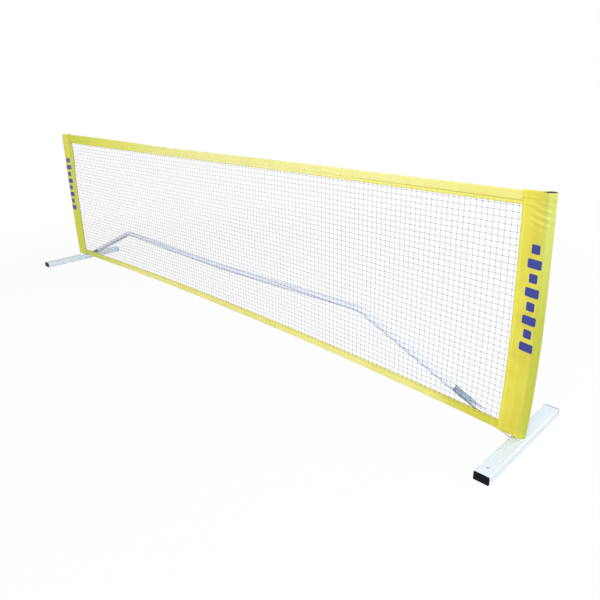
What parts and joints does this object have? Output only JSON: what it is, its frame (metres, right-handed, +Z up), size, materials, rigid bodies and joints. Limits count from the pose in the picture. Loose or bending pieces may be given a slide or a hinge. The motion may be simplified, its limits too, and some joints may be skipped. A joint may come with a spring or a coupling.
{
  "type": "portable sports net",
  "caption": "Low free-standing sports net: box-section feet, push-fit bent tube frame, upright poles, and taped netting whose side sleeves lift off the poles.",
  "frame": {"origin": "on the floor, midway between the two poles, in the plane of the poles' axes", "axes": "+X along the net from the left pole to the right pole, +Y from the net's front to the tube frame behind it, +Z up"},
  "size_m": [3.02, 0.485, 0.7855],
  "materials": {
    "frame_paint": "pale blue-white powder coat, satin",
    "tube_paint": "pale grey-white powder coat, satin",
    "bare_steel": "bright zinc plate, slightly dulled",
    "black_plastic": "moulded, fine grain",
    "rivet_metal": "satin",
    "net_twine": "knotted braided twine",
    "tape_fabric": "folded and sewn coated band",
    "sleeve_fabric": "woven nylon, wrinkled"
  },
  "bodies": {
    "frame": {"foot_left": "frame_paint", "foot_right": "frame_paint", "foot_plug_front_left": "black_plastic", "foot_plug_rear_left": "black_plastic", "foot_plug_front_right": "black_plastic", "foot_plug_rear_right": "black_plastic", "plug_rivets": "rivet_metal", "pole_spigot_left": "bare_steel", "pole_spigot_right": "bare_steel", "arm_spigot_left": "bare_steel", "arm_spigot_right": "bare_steel", "frame_tube_left": "tube_paint", "frame_tube_right": "tube_paint", "bar_ferrule": "bare_steel"},
    "pole_left": {"pole_left": "tube_paint", "pole_cap_left": "black_plastic"},
    "pole_right": {"pole_right": "tube_paint", "pole_cap_right": "black_plastic"},
    "net": {"net_mesh": "net_twine", "top_tape": "tape_fabric", "bottom_tape": "tape_fabric", "sleeve_left": "sleeve_fabric", "sleeve_right": "sleeve_fabric"}
  },
  "joints": [
    {"name": "net_lift", "type": "slide", "parent": "frame", "child": "net", "axis": [0, 0, 1], "range_m": [0, 0.765]},
    {"name": "pole_left_lift", "type": "slide", "parent": "frame", "child": "pole_left", "axis": [0, 0, 1], "range_m": [0, 0.11]},
    {"name": "pole_right_lift", "type": "slide", "parent": "frame", "child": "pole_right", "axis": [0, 0, 1], "range_m": [0, 0.11]}
  ]
}
